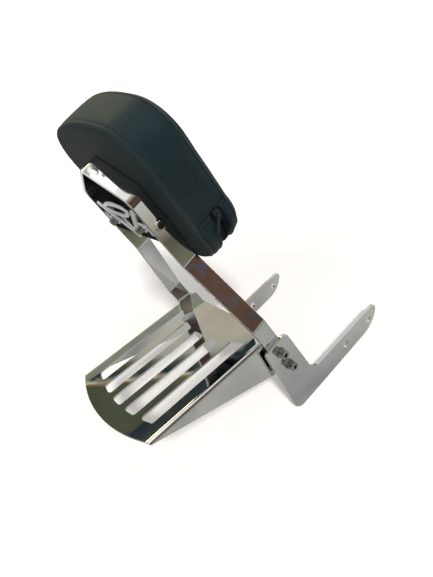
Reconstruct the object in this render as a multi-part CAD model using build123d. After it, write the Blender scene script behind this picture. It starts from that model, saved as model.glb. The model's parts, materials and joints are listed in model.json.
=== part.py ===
from build123d import *
import math
import os

os.makedirs("parts", exist_ok=True)

# All sizes are in millimetres and degrees.
# Upright frame: X right, Y forward, Z along the uprights, origin between the two lower bends.
# Row frame: the upright frame leaned back so that the arms are level, set down on z = 0.

# Lean of the uprights behind the arms, and rise of the rack behind the uprights
lean = 10.0
rack_rise = 14.5

# Hoop: one flat bar, its wide faces to the sides
bar_width = 25.0
bar_thickness = 5.0
hoop_base_width = 223.0
hoop_top_width = 130.0
flare_height = 122.0
shoulder_height = 236.0
apex_height = 278.0
foot_length = 104.0
flare_bend = 9.0
shoulder_bend = 22.0
apex_bend = 12.0
bar_edge_round = 0.7

# Rack: one folded sheet
sheet = 3.0
sheet_bend = 6.0
rack_drop = 28.0
rack_front = 11.0
rack_length = 219.0
rack_bow = 24.0
flange_depth = 72.0
flange_heel = 28.0
flange_heel_round = 10.0
flange_tail = 5.0
slot_count = 5
slot_width = 23.0
slot_pitch = 36.0
slot_corner = 5.0
slot_front = 33.0
slot_front_arc = 150.0
slot_rear = 191.0
slot_rear_arc = 255.0

# Brackets: one thick plate on each side
bracket_thickness = 6.0
lobe_top = 42.0
lobe_front = 23.6
lobe_rear = 21.4
lobe_front_round = 10.0
lobe_rear_round = 5.0
crook_round = 22.0
arm_drop = 156.0
arm_half_width = 17.2
arm_first_hole = 122.5
arm_hole_pitch = 62.0
arm_hole = 12.5
arm_tip = 30.5
arm_tip_round = 8.0
arm_tip_sweep = 50.0
arm_tip_slant = 55.0
heel_rear = 6.5
heel_sink = 4.5
heel_round = 16.0
bracket_edge_round = 0.8

# Screws through bracket, foot and flange
m8_shank = 8.0
m8_head = 13.0
m8_head_height = 8.0
m8_key = 6.0
m8_length = 30.0
knurl_count = 24
m8_washer = 16.0
m8_washer_thickness = 1.6
m8_lock_washer = 13.0
m8_lock_thickness = 2.0
lock_split = 1.6
lock_slant = 35.0
m8_nut_across = 13.0
m8_nut_height = 6.5
screw_row = -1.3
upper_screw = 58.5
lower_screw = 89.5

# Screws through the uprights
m6_shank = 6.0
m6_key = 4.0
m6_nut_across = 10.0
m6_nut_height = 5.0
side_screw_height = 187.0
side_screw_length = 16.0
side_head = 10.0
side_head_height = 3.2
cup_base = 16.0
cup_rim = 13.0
cup_rise = 3.4
cup_floor = 1.0

# Screws from the rear into the pad
pad_screw_height = 188.0
pad_screw_half_spacing = 38.0
pad_screw_length = 30.0
pad_head = 10.0
pad_head_height = 6.0
m6_washer = 12.0
m6_washer_thickness = 1.6
spacer_diameter = 11.0
insert_diameter = 9.0

# Scroll plate between the uprights
plate_sheet = 2.0
plate_bend = 3.5
plate_rear = 12.0
tab_reach = 19.0
tab_height = 20.0
tab_width = 8.0
lug_diameter = 16.0
chevron_stroke = 8.0
chevron_sink = 22.0
chevron_rise = 27.0
chevron_reach = 49.0
wing_stroke = 6.0
loop_middle = 24.0
loop_half_width = 30.0
loop_half_height = 9.0
loop_stroke = 6.0
spear_stroke = 5.0

# Pad
pad_half_width = 109.0
pad_bottom = 113.0
pad_top = 320.0
pad_shoulder = 58.0
pad_crown = 264.0
pad_corner = 45.0
board_thickness = 5.5
board_inset = 2.6
board_round = 2.5
cushion_front = 82.0
cushion_round = 14.0
piping_radius = 2.2

# Zip round the bottom of the cover
zip_middle = 47.0
zip_width = 22.0
zip_end = 172.0
zip_tape_thickness = 1.2
teeth_width = 5.0
teeth_rise = 1.4
slider_width = 9.0
slider_height = 12.0
slider_thickness = 4.0
pull_width = 6.0
pull_length = 28.0
pull_thickness = 1.5
pull_swing = 40.0

# Clearances
hole_clearance = 0.5
thread_gap = 0.3
side_gap = 0.2
soft_gap = 0.3

BASE = (Align.CENTER, Align.CENTER, Align.MIN)
RIGHT = (1, 0, 0)
LEFT = (-1, 0, 0)
FORWARD = (0, 1, 0)
BACK = (0, -1, 0)

# Values that follow from the sizes above
half_bar = bar_width / 2
base_half = hoop_base_width / 2
top_half = hoop_top_width / 2
rack_half = base_half - bar_thickness - side_gap
plate_half = top_half - bar_thickness - side_gap
m8_hole = m8_shank + 2 * hole_clearance
m6_hole = m6_shank + 2 * hole_clearance
screw_heights = (-upper_screw, -lower_screw)
pad_rear = half_bar + soft_gap
board_front = pad_rear + board_thickness
cushion_rear = board_front + soft_gap
front_seam = cushion_front - cushion_round

upright = Location((0, 0, 0), (lean, 0, 0))
rack_place = Location((0, -half_bar, -rack_drop), (-rack_rise, 0, 0))


def rounded(corners, closed=True):
    """Wire through (x, y, radius) corners, each rounded by its own radius"""
    count = len(corners)
    starts, middles, ends = [], [], []
    for i, (x, y, radius) in enumerate(corners):
        here = Vector(x, y)
        start, middle, end = here, None, here
        if radius:
            before = (Vector(*corners[i - 1][:2]) - here).normalized()
            after = (Vector(*corners[(i + 1) % count][:2]) - here).normalized()
            half_angle = math.radians(before.get_angle(after) / 2)
            inward = (before + after).normalized()
            start = here + before * (radius / math.tan(half_angle))
            middle = here + inward * (radius / math.sin(half_angle) - radius)
            end = here + after * (radius / math.tan(half_angle))
        starts.append(start)
        middles.append(middle)
        ends.append(end)
    edges = []
    for i in range(count):
        if middles[i] is not None:
            edges.append(ThreePointArc(starts[i], middles[i], ends[i]).edge())
        following = (i + 1) % count
        if closed or following:
            edges.append(Line(ends[i], starts[following]).edge())
    return Wire(edges)


def bent_strip(path, thickness):
    """Face of a strip that follows a path drawn clockwise, its thickness on the inner side"""
    return make_face(path.offset_2d(thickness, kind=Kind.INTERSECTION, side=Side.RIGHT).edges())


def along_x(x, y, z, direction=RIGHT):
    """Place for a thing made along +Z that is to point along X"""
    return Plane((x, y, z), x_dir=FORWARD, z_dir=direction).location


def along_y(x, y, z, direction=FORWARD):
    """Place for a thing made along +Z that is to point along Y"""
    return Plane((x, y, z), x_dir=RIGHT, z_dir=direction).location


def rod(diameter, length):
    return Cylinder(diameter / 2, length, align=BASE)


def ring(outer, inner, height):
    return rod(outer, height) - rod(inner, height)


def hexagon(across, height):
    return extrude(RegularPolygon(across / 2, 6, major_radius=False), height)


def cap_screw(shank, length, head, head_height, key, knurls=0):
    """Socket-head screw: bearing face on z = 0, head above it, shank below"""
    top = rod(head, head_height)
    top = chamfer(top.edges().group_by(Axis.Z)[-1], head * 0.05)
    if knurls:
        groove = head * 0.05
        step = math.pi / knurls
        radii = [head / 2 - groove * (i % 2) for i in range(2 * knurls)]
        points = [(r * math.cos(step * i), r * math.sin(step * i)) for i, r in enumerate(radii)]
        top &= extrude(make_face(Polyline(*points, close=True).edges()), head_height)
    stem = rod(shank, length)
    stem = Pos(0, 0, -length) * chamfer(stem.edges().group_by(Axis.Z)[0], shank * 0.1)
    socket_depth = head_height * 0.6
    return top + stem - Pos(0, 0, head_height - socket_depth) * hexagon(key, socket_depth)


def nut(across, height, bore):
    """Hexagon nut on z = 0 with its outer corners trimmed"""
    trim = Cone(across * 0.62, across * 0.5, height, align=BASE)
    return (hexagon(across, height) & (rod(across * 1.13, height * 0.7) + trim)) - rod(bore, height)


def mirrored(shapes):
    """The shapes of the right side with their mirror images on the left"""
    return shapes + [mirror(shape, Plane.YZ) for shape in shapes]


def rise(x, radius):
    """Height of an arc above its lowest point at a distance x from it"""
    return radius - math.sqrt(radius**2 - x**2)


# Hoop
def make_hoop():
    left = [
        (-base_half, -foot_length, 0),
        (-base_half, 0, flare_bend),
        (-top_half, flare_height, flare_bend),
        (-top_half, shoulder_height, shoulder_bend),
    ]
    right = [(-x, z, radius) for x, z, radius in reversed(left)]
    path = rounded(left + [(0, apex_height, apex_bend)] + right, closed=False)
    hoop = extrude(Plane.XZ * bent_strip(path, bar_thickness), half_bar, both=True)
    faces = hoop.faces().sort_by(Axis.Y)
    hoop = fillet(faces[0].edges() + faces[-1].edges(), bar_edge_round)
    for z in screw_heights:
        hoop -= along_x(-base_half, screw_row, z) * rod(m8_hole, hoop_base_width)
    hoop -= along_x(-base_half, 0, side_screw_height) * rod(m6_hole, hoop_base_width)
    return hoop


# Rack, made flat with its top on z = 0 and then set on the uprights
def make_rack():
    deep = 2 * flange_depth
    long = 2 * rack_length
    channel = rounded(
        [
            (-rack_half, -deep, 0),
            (-rack_half, 0, sheet_bend),
            (rack_half, 0, sheet_bend),
            (rack_half, -deep, 0),
        ],
        closed=False,
    )
    rack = extrude(Plane.XZ * bent_strip(channel, sheet), long, both=True)

    corner = rack_length - rack_bow
    slope = math.radians(rack_rise)
    side = rounded(
        [
            (-rack_length, sheet, 0),
            (rack_length, sheet, 0),
            (flange_heel + deep * math.cos(slope), -flange_depth + deep * math.sin(slope), 0),
            (flange_heel, -flange_depth, flange_heel_round),
            (-corner, -flange_tail, 0),
            (-rack_length, -flange_tail, 0),
        ]
    )
    rack &= extrude(Plane.YZ * make_face(side.edges()), 2 * rack_half, both=True)

    rear_edge = ThreePointArc((-rack_half, -corner), (0, -rack_length), (rack_half, -corner))
    outer = Polyline(rear_edge @ 1, (rack_half, rack_length), (-rack_half, rack_length), rear_edge @ 0)
    rack &= extrude(make_face(rear_edge.edges() + outer.edges()), deep, both=True)

    for i in range(slot_count):
        middle = (i - (slot_count - 1) / 2) * slot_pitch
        sides = (middle - slot_width / 2, middle + slot_width / 2)
        front = [(x, -slot_front + rise(x, slot_front_arc), slot_corner) for x in sides]
        rear = [(x, -slot_rear + rise(x, slot_rear_arc), slot_corner) for x in reversed(sides)]
        rack -= extrude(make_face(rounded(front + rear).edges()), sheet_bend, both=True)

    rack = rack_place * rack
    rack -= Pos(0, rack_front + deep, 0) * Box(hoop_base_width, 2 * deep, 2 * long)
    for z in screw_heights:
        rack -= along_x(-base_half, screw_row, z) * rod(m8_hole, hoop_base_width)
    return rack


# Brackets, drawn with the arm level
def make_bracket():
    turn = math.radians(lean)
    lobe_front_level = lobe_front / math.cos(turn)
    arm_top = -arm_drop + arm_half_width
    arm_low = -arm_drop - arm_half_width
    tip = arm_first_hole + arm_hole_pitch + arm_tip
    tip_low = tip - 2 * arm_half_width / math.tan(math.radians(arm_tip_slant))

    def level(y, z, radius):
        return (y * math.cos(turn) - z * math.sin(turn), y * math.sin(turn) + z * math.cos(turn), radius)

    outline = rounded(
        [
            level(-lobe_rear, -lobe_top, lobe_rear_round),
            level(lobe_front, -lobe_top, lobe_front_round),
            (lobe_front_level - arm_top * math.tan(turn), arm_top, crook_round),
            (tip, arm_top, arm_tip_round),
            (tip_low, arm_low, arm_tip_sweep),
            (-heel_rear, arm_low - heel_sink, heel_round),
        ]
    )
    bracket = Pos(base_half, 0, 0) * extrude(Plane.YZ * make_face(outline.edges()), bracket_thickness)
    faces = bracket.faces().sort_by(Axis.X)
    bracket = fillet(faces[0].edges() + faces[-1].edges(), bracket_edge_round)
    for z in screw_heights:
        bracket -= upright * along_x(0, screw_row, z) * rod(m8_hole, hoop_base_width)
    for i in range(2):
        bracket -= along_x(0, arm_first_hole + i * arm_hole_pitch, -arm_drop) * rod(arm_hole, hoop_base_width)
    return bracket


# One bracket screw with everything on it, from the outer face inwards
def make_bracket_fixing(z):
    def at(x, direction=RIGHT):
        return along_x(x, screw_row, z, direction)

    face = base_half + bracket_thickness
    washer = ring(m8_washer, m8_hole, m8_washer_thickness)
    lock = ring(m8_lock_washer, m8_hole, m8_lock_thickness)
    split = Box(m8_lock_washer, lock_split, 3 * m8_lock_washer)
    lock -= Pos(m8_lock_washer / 2, 0, 0) * Rot(lock_slant, 0, 0) * split
    screw = cap_screw(m8_shank, m8_length, m8_head, m8_head_height, m8_key, knurl_count)
    lock_face = face + m8_washer_thickness
    inside = rack_half - sheet
    return {
        "bracket_washers": at(face) * washer,
        "bracket_lock_washers": at(lock_face) * lock,
        "bracket_screws": at(lock_face + m8_lock_thickness) * screw,
        "bracket_back_washers": at(inside, LEFT) * washer,
        "bracket_nuts": at(inside - m8_washer_thickness, LEFT)
        * nut(m8_nut_across, m8_nut_height, m8_shank + 2 * thread_gap),
    }


# Scroll plate: a folded strip cut to a generic pattern of chevron, wings, spear and loop
def make_scroll_plate():
    def stroke(start, end, width):
        return make_face(Line(start, end).offset_2d(width / 2, kind=Kind.ARC, side=Side.BOTH).edges())

    keel = (0, -chevron_sink)
    lug = (pad_screw_half_spacing, 0)
    half = stroke(keel, (chevron_reach, chevron_rise), chevron_stroke)
    crossing = chevron_reach * chevron_sink / (chevron_sink + chevron_rise)
    half += stroke((crossing, 0), (plate_half, 0), wing_stroke)
    half += Pos(*lug) * Circle(lug_diameter / 2)
    loop = Ellipse(loop_half_width + loop_stroke / 2, loop_half_height + loop_stroke / 2)
    loop -= Ellipse(loop_half_width - loop_stroke / 2, loop_half_height - loop_stroke / 2)
    spear = stroke(keel, (0, loop_middle - loop_half_height), spear_stroke)
    pattern = half + mirror(half, Plane.YZ) + Pos(0, loop_middle) * loop + spear

    deep = 2 * tab_reach
    strip = rounded(
        [
            (plate_half, tab_reach, 0),
            (plate_half, 0, plate_bend),
            (-plate_half, 0, plate_bend),
            (-plate_half, tab_reach, 0),
        ],
        closed=False,
    )
    plate = extrude(bent_strip(strip, plate_sheet), 2 * chevron_reach, both=True)
    cutter = extrude(Plane.XZ * pattern, plate_sheet, both=True)
    for side in (-1, 1):
        cutter += Pos(side * plate_half, 0, 0) * Box(2 * tab_width, 2 * deep, tab_height)
        cutter -= along_y(side * pad_screw_half_spacing, -deep, 0) * rod(m6_hole, 2 * deep)
    plate = Pos(0, -plate_rear, pad_screw_height) * (plate & cutter)
    return plate - along_x(-base_half, 0, side_screw_height) * rod(m6_hole, hoop_base_width)


def make_side_fixing():
    def at(x, direction=RIGHT):
        return along_x(x, 0, side_screw_height, direction)

    cup = Cone(cup_base / 2, cup_rim / 2, cup_rise, align=BASE)
    cup -= Pos(0, 0, cup_floor) * rod(side_head + 2 * thread_gap, cup_rise)
    cup -= rod(m6_hole, cup_rise)
    screw = cap_screw(m6_shank, side_screw_length, side_head, side_head_height, m6_key)
    return {
        "side_cup_washers": at(top_half) * cup,
        "side_screws": at(top_half + cup_floor) * screw,
        "side_nuts": at(plate_half - plate_sheet, LEFT)
        * nut(m6_nut_across, m6_nut_height, m6_shank + 2 * thread_gap),
    }


def make_pad_fixing():
    def at(y, direction=FORWARD):
        return along_y(pad_screw_half_spacing, y, pad_screw_height, direction)

    bearing = -plate_rear - m6_washer_thickness
    plate_front = -plate_rear + plate_sheet
    return {
        "pad_washers": at(-plate_rear, BACK) * ring(m6_washer, m6_hole, m6_washer_thickness),
        "pad_screws": at(bearing, BACK)
        * cap_screw(m6_shank, pad_screw_length, pad_head, pad_head_height, m6_key, knurl_count),
        "pad_spacers": at(plate_front) * ring(spacer_diameter, m6_hole, pad_rear - plate_front),
        "pad_inserts": at(pad_rear) * ring(insert_diameter, m6_shank + 2 * thread_gap, board_thickness),
    }


# Pad
def pad_outline(inset):
    """Edges of the pad's outline seen from behind, drawn a given way inside its skin"""
    half_width = pad_half_width - inset
    low, high = pad_bottom + inset, pad_top - inset
    shoulder, crown, corner = pad_shoulder - inset, pad_crown - inset, pad_corner - inset
    crown_centre = high - crown
    shoulder_x = half_width - shoulder
    shoulder_z = crown_centre + math.sqrt((crown - shoulder) ** 2 - shoulder_x**2)
    meet = math.atan2(shoulder_z - crown_centre, shoulder_x)

    def arc(x, z, radius, start, end):
        angles = (start, (start + end) / 2, end)
        points = [(x + radius * math.cos(a), z + radius * math.sin(a)) for a in angles]
        return ThreePointArc(*points).edge()

    def half(side):
        def turned(angle):
            return angle if side > 0 else math.pi - angle

        return [
            Line((0, low), (side * (half_width - corner), low)).edge(),
            arc(side * (half_width - corner), low + corner, corner, turned(-math.pi / 2), turned(0)),
            Line((side * half_width, low + corner), (side * half_width, shoulder_z)).edge(),
            arc(side * shoulder_x, shoulder_z, shoulder, turned(0), turned(meet)),
            arc(0, crown_centre, crown, turned(meet), math.pi / 2),
        ]

    return half(1) + half(-1)


def pad_slab(inset, rear, front):
    """Solid with the pad's outline between two depths"""
    face = make_face(pad_outline(inset))
    return extrude(Plane((0, front, 0), x_dir=RIGHT, z_dir=BACK) * face, front - rear)


def pad_welt(radius, depth):
    """Round cord that follows the pad's outline at a depth"""
    path = Plane((0, depth, 0), x_dir=RIGHT, z_dir=BACK) * Wire(pad_outline(piping_radius))
    start = path @ 0
    return sweep(Plane(start, z_dir=path % 0) * Circle(radius), path=path)


def pad_band(outer, inner, width, top):
    """Band round the bottom of the pad between two depths under its skin"""
    rear, front = zip_middle - width / 2, zip_middle + width / 2
    band = pad_slab(outer, rear, front) - pad_slab(inner, rear, front)
    return band - Pos(0, 0, top + pad_top / 2) * Box(2 * base_half + pad_top, 4 * cushion_front, pad_top)


def make_pad():
    board = pad_slab(board_inset, pad_rear, board_front)
    board = fillet(board.faces().sort_by(Axis.Y)[0].edges(), board_round)
    for side in (-1, 1):
        hole = rod(insert_diameter + 2 * thread_gap, cushion_front)
        board -= along_y(side * pad_screw_half_spacing, 0, pad_screw_height) * hole

    cushion = pad_slab(0, cushion_rear, cushion_front)
    cushion = fillet(cushion.faces().sort_by(Axis.Y)[-1].edges(), cushion_round)
    groove = piping_radius + soft_gap
    rear_depth = cushion_rear
    cushion -= pad_welt(groove, rear_depth)
    cushion -= pad_welt(groove, front_seam)
    board -= pad_welt(groove, rear_depth)
    recess = zip_tape_thickness + soft_gap
    cushion -= pad_band(-soft_gap, recess, zip_width + 2 * soft_gap, zip_end + soft_gap)
    return {
        "pad_board": board,
        "pad_cushion": cushion,
        "rear_piping": pad_welt(piping_radius, rear_depth),
        "front_piping": pad_welt(piping_radius, front_seam),
    }


def make_zip():
    tape = pad_band(0, zip_tape_thickness, zip_width, zip_end)
    slider_low = zip_end - slider_height
    slider_rear = pad_half_width + soft_gap
    teeth = pad_band(-soft_gap - teeth_rise, -soft_gap, teeth_width, slider_low - soft_gap)
    middle = Pos(slider_rear, zip_middle, zip_end - slider_height / 2)
    slider = Box(slider_thickness, slider_width, slider_height, align=(Align.MIN, Align.CENTER, Align.CENTER))
    slider = fillet(slider.edges().filter_by(Axis.X), slider_width * 0.2)
    pull_face = make_face(rounded([(y, z, pull_width * 0.3) for y, z in pull_corners()]).edges())
    pull = extrude(Plane.YZ * pull_face, pull_thickness)
    pull_hole = along_x(0, 0, -pull_length + pull_width / 2) * rod(pull_width * 0.4, pull_thickness)
    pivot = Pos(slider_rear + slider_thickness, zip_middle, zip_end - slider_height / 2)
    pull = pivot * Rot(-pull_swing, 0, 0) * (pull - pull_hole)
    return {"zip_tape": tape, "zip_teeth": teeth, "zip_slider": middle * slider, "zip_pull": pull}


def pull_corners():
    half = pull_width / 2
    return [(-half, 0), (half, 0), (half, -pull_length), (-half, -pull_length)]


nodes = {"hoop_bar": [upright * make_hoop()], "rack": [upright * make_rack()]}
nodes["right_bracket"], nodes["left_bracket"] = [[bracket] for bracket in mirrored([make_bracket()])]
for fixing in (*(make_bracket_fixing(z) for z in screw_heights), make_side_fixing(), make_pad_fixing()):
    for name, shape in fixing.items():
        nodes.setdefault(name, []).extend(upright * one for one in mirrored([shape]))
nodes["scroll_plate"] = [upright * make_scroll_plate()]
for name, shape in {**make_pad(), **make_zip()}.items():
    nodes[name] = [upright * shape]

# Set the whole thing down on z = 0, centred over the origin
box = Compound([shape for shapes in nodes.values() for shape in shapes]).bounding_box()
ground = Location((0, -(box.min.Y + box.max.Y) / 2, -box.min.Z))

for name, shapes in nodes.items():
    placed = [ground * shape for shape in shapes]
    export_step(placed[0] if len(placed) == 1 else Compound(placed), f"parts/{name}.step")
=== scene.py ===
import json
import math

import bpy
from mathutils import Matrix, Vector, kdtree, noise
from mathutils.bvhtree import BVHTree


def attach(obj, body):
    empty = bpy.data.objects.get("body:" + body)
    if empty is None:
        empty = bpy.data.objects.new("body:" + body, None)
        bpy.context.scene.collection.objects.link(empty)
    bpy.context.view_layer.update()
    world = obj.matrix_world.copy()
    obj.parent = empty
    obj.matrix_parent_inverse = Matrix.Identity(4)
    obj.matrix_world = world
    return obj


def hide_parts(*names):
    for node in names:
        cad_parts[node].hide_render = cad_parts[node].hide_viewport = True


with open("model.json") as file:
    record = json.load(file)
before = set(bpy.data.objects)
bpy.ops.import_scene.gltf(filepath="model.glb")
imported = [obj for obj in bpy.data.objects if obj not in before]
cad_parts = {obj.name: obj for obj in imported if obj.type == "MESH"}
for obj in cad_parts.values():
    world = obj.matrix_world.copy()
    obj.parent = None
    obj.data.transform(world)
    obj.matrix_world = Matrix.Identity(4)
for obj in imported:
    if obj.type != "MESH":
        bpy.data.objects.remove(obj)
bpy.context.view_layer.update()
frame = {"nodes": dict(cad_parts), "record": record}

# Shapes are drawn in the upright frame in millimetres: X right, Y forward, Z along the uprights.
# row() turns such a point into the model's own frame in metres.
LEAN = math.radians(10)
GROUND = Vector((0, 9.188, 177.351))
TURN = Matrix.Rotation(LEAN, 3, "X")
PER_METRE = 1000
Y_AXIS = Vector((0, 1, 0))


def row(x, y, z):
    return (TURN @ Vector((x, y, z)) + GROUND) / PER_METRE


def upright(point):
    """The way back: a point of the model's frame in the upright frame in millimetres"""
    return TURN.transposed() @ (point * PER_METRE - GROUND)


# Pad sizes, as in the CAD part; SHOULDER, CROWN and CORNER are radii of its outline
HALF_WIDTH = 109
BOTTOM = 113
TOP = 320
SHOULDER = 58
CROWN = 264
CORNER = 45
REAR = 12.8
REAR_SEAM = 18.6
FRONT_SEAM = 68
FRONT = 82
PIPING = 2.2
CENTRE_HEIGHT = 212
ZIP_MIDDLE = 47
ZIP_HALF = 8
ZIP_END = 172
CROSS_SEAM = 174
SEAM_SLANT = 4

# Places where the pad's outline changes from one line or arc to the next
SHOULDER_X = HALF_WIDTH - SHOULDER
CROWN_CENTRE = TOP - CROWN
SHOULDER_Z = CROWN_CENTRE + math.sqrt((CROWN - SHOULDER) ** 2 - SHOULDER_X**2)
MEET = math.atan2(SHOULDER_Z - CROWN_CENTRE, SHOULDER_X)

# Points on each stretch of the outline, closest together round a cross seam
SEAM_MARGIN = 6
BOTTOM_STEPS = 22
CORNER_STEPS = 22
LOW_SIDE_STEPS = 3
SEAM_STEPS = 8
SIDE_STEPS = 18
SHOULDER_STEPS = 18
CROWN_STEPS = 15


def outline_half():
    """Points and outward normals of the pad's right half, from bottom middle to top middle"""
    places = []

    def line(start, end, normal, count):
        for i in range(count):
            t = i / count
            spot = tuple(a + (b - a) * t for a, b in zip(start, end))
            places.append((*spot, *normal))

    def arc(x, z, radius, start, end, count):
        for i in range(count):
            a = start + (end - start) * i / count
            c, s = math.cos(a), math.sin(a)
            places.append((x + radius * c, z + radius * s, c, s))

    def side(low, high, count):
        line((HALF_WIDTH, low), (HALF_WIDTH, high), (1, 0), count)

    line((0, BOTTOM), (HALF_WIDTH - CORNER, BOTTOM), (0, -1), BOTTOM_STEPS)
    arc(HALF_WIDTH - CORNER, BOTTOM + CORNER, CORNER, -math.pi / 2, 0, CORNER_STEPS)
    side(BOTTOM + CORNER, CROSS_SEAM - SEAM_MARGIN, LOW_SIDE_STEPS)
    side(CROSS_SEAM - SEAM_MARGIN, CROSS_SEAM + SEAM_MARGIN, SEAM_STEPS)
    side(CROSS_SEAM + SEAM_MARGIN, SHOULDER_Z, SIDE_STEPS)
    arc(SHOULDER_X, SHOULDER_Z, SHOULDER, 0, MEET, SHOULDER_STEPS)
    arc(0, CROWN_CENTRE, CROWN, MEET, math.pi / 2, CROWN_STEPS)
    return places


def outline():
    """The whole outline as (x, z, normal x, normal z), closed and symmetric"""
    right = outline_half()
    top = (0, TOP, 0, 1)
    left = [(-x, z, -nx, nz) for x, z, nx, nz in reversed(right[1:])]
    return right + [top] + left


OUTLINE = outline()
COUNT = len(OUTLINE)


def outline_finder():
    """Search tree that gives the number of the outline's nearest point"""
    tree = kdtree.KDTree(COUNT)
    for number, (x, z, nx, nz) in enumerate(OUTLINE):
        tree.insert((x, 0, z), number)
    tree.balance()
    return tree


OUTLINE_FINDER = outline_finder()


def smooth(low, high, value):
    """0 below low, 1 above high, with a soft rise between them"""
    t = min(max((value - low) / (high - low), 0), 1)
    return t * t * (3 - 2 * t)


def hump(middle, width, value):
    """A smooth bump of height 1 around a middle"""
    return math.exp(-(((value - middle) / width) ** 2))


def make_mesh(name, points, faces):
    mesh = bpy.data.meshes.new(name)
    mesh.from_pydata(points, [], faces)
    mesh.validate()
    mesh.polygons.foreach_set("use_smooth", [True] * len(mesh.polygons))
    piece = bpy.data.objects.new(name, mesh)
    bpy.context.collection.objects.link(piece)
    return piece


def closed_form(name, rings, first, last):
    """Closed mesh over rings of upright-frame points, with a middle point at each end"""
    points = [row(*first)]
    for ring in rings:
        points += [row(*spot) for spot in ring]
    points.append(row(*last))
    faces = []
    end = len(points) - 1
    for i in range(COUNT):
        j = (i + 1) % COUNT
        faces.append((0, 1 + i, 1 + j))
        for k in range(len(rings) - 1):
            a, b = 1 + k * COUNT, 1 + (k + 1) * COUNT
            faces.append((a + i, b + i, b + j, a + j))
        tail = 1 + (len(rings) - 1) * COUNT
        faces.append((tail + i, end, tail + j))
    return make_mesh(name, points, faces)


def scaled_ring(inset, scale, depth):
    """Ring inside a panel, drawn towards the middle of the pad"""
    ring = []
    for x, z, nx, nz in OUTLINE:
        px, pz = x - inset * nx, z - inset * nz
        ring.append((px * scale, depth, CENTRE_HEIGHT + (pz - CENTRE_HEIGHT) * scale))
    return ring


# The rear seam runs further back beside the zip's end panels, and stands out at the lower corners
SEAM_SHIFT = 3
SEAM_SHIFT_MIDDLE = 156
SEAM_SHIFT_WIDTH = 16
SEAM_SHIFT_START = 50
SEAM_SHIFT_FULL = 90
CORNER_TIP = 2.5
CORNER_TIP_ANGLE = -52
CORNER_TIP_WIDTH = 15


def seam_shift(x, z):
    """How far the rear seam moves beside the zip's end panels"""
    beside = smooth(SEAM_SHIFT_START, SEAM_SHIFT_FULL, abs(x))
    return -SEAM_SHIFT * hump(SEAM_SHIFT_MIDDLE, SEAM_SHIFT_WIDTH, z) * beside


def corner_tip(nx, nz):
    """How far the rear seam stands out at the pad's two lower corners"""
    angle = math.degrees(math.atan2(nz, abs(nx)))
    return CORNER_TIP * hump(CORNER_TIP_ANGLE, CORNER_TIP_WIDTH, angle)


# Rings of the cover: hidden behind the board, along the side band, and over the front.
# On the band they lie closest at the seams and along the zip.
BACK_SCALES = (0.3, 0.65, 0.97)
BACK_INSET = PIPING + 1
BACK_DEPTH = REAR_SEAM + 0.4
BAND_DEPTHS = (
    (18.6, 20.4, 23, 26, 29, 32, 34.8, 37, 38.4, 39.6, 41.5, 44, 47)
    + (50, 52.5, 54.4, 55.6, 57, 59.2, 62, 64.6, 66.6, 68)
)
BAND_CROWN = 0.8
BAND_ROUNDNESS = 0.6
BAND_EDGE = 0.07
END_BULGE = 2.2
END_FADE = 12
LEAN_WIDTH = 14
FRONT_SCALES = (0.985, 0.965, 0.94, 0.905, 0.86, 0.8, 0.73, 0.64, 0.54, 0.43, 0.31, 0.2, 0.1)
FRONT_ROUNDNESS = 7
FRONT_CROWN = 2.5


def seam_height(depth):
    """The cross seams lean: their rear ends sit lower than their front ends"""
    return CROSS_SEAM - SEAM_SLANT * (FRONT_SEAM - depth) / (FRONT_SEAM - REAR_SEAM)


def end_panel(z):
    """1 in the panel below the cross seams, which holds the zip, and 0 above them"""
    return smooth(0, END_FADE, CROSS_SEAM - z)


def band_inset(z, depth):
    """How far the side band lies inside the outline before the filling swells it"""
    t = (depth - REAR_SEAM) / (FRONT_SEAM - REAR_SEAM)
    bulge = (BAND_CROWN + END_BULGE * end_panel(z)) * math.sin(math.pi * t) ** BAND_ROUNDNESS
    between_seams = smooth(0, BAND_EDGE, t) * smooth(0, BAND_EDGE, 1 - t)
    return PIPING * (1 - between_seams) - bulge


def make_cushion():
    rings = [scaled_ring(BACK_INSET, scale, BACK_DEPTH) for scale in BACK_SCALES]
    for depth in BAND_DEPTHS:
        near_rear = 1 - smooth(REAR_SEAM, ZIP_MIDDLE - ZIP_HALF, depth)
        ring = []
        for x, z, nx, nz in OUTLINE:
            inset = band_inset(z, depth) - corner_tip(nx, nz) * near_rear
            lean = (seam_height(depth) - CROSS_SEAM) * hump(CROSS_SEAM, LEAN_WIDTH, z)
            ring.append((x - inset * nx, depth + seam_shift(x, z) * near_rear, z - inset * nz + lean))
        rings.append(ring)
    for scale in FRONT_SCALES:
        rise = (FRONT - FRONT_SEAM) * math.sqrt(1 - scale**FRONT_ROUNDNESS)
        rise += FRONT_CROWN * (1 - scale**2)
        rings.append(scaled_ring(PIPING, scale, FRONT_SEAM + rise))
    behind = (0, BACK_DEPTH, CENTRE_HEIGHT)
    return closed_form("pad_cover", rings, behind, (0, FRONT + FRONT_CROWN, CENTRE_HEIGHT))


# Filling: pressure inside the cover, which has a little slack; CLOTH_CAP is in metres
PRESSURE = 4
BAND_SLACK = 0.004
END_SLACK = 0.02
CLOTH_STEPS = 20
CLOTH_CAP = 0.004
ON_SEAM = 0.5


def ring_points(index):
    return range(1 + index * COUNT, 1 + (index + 1) * COUNT)


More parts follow.
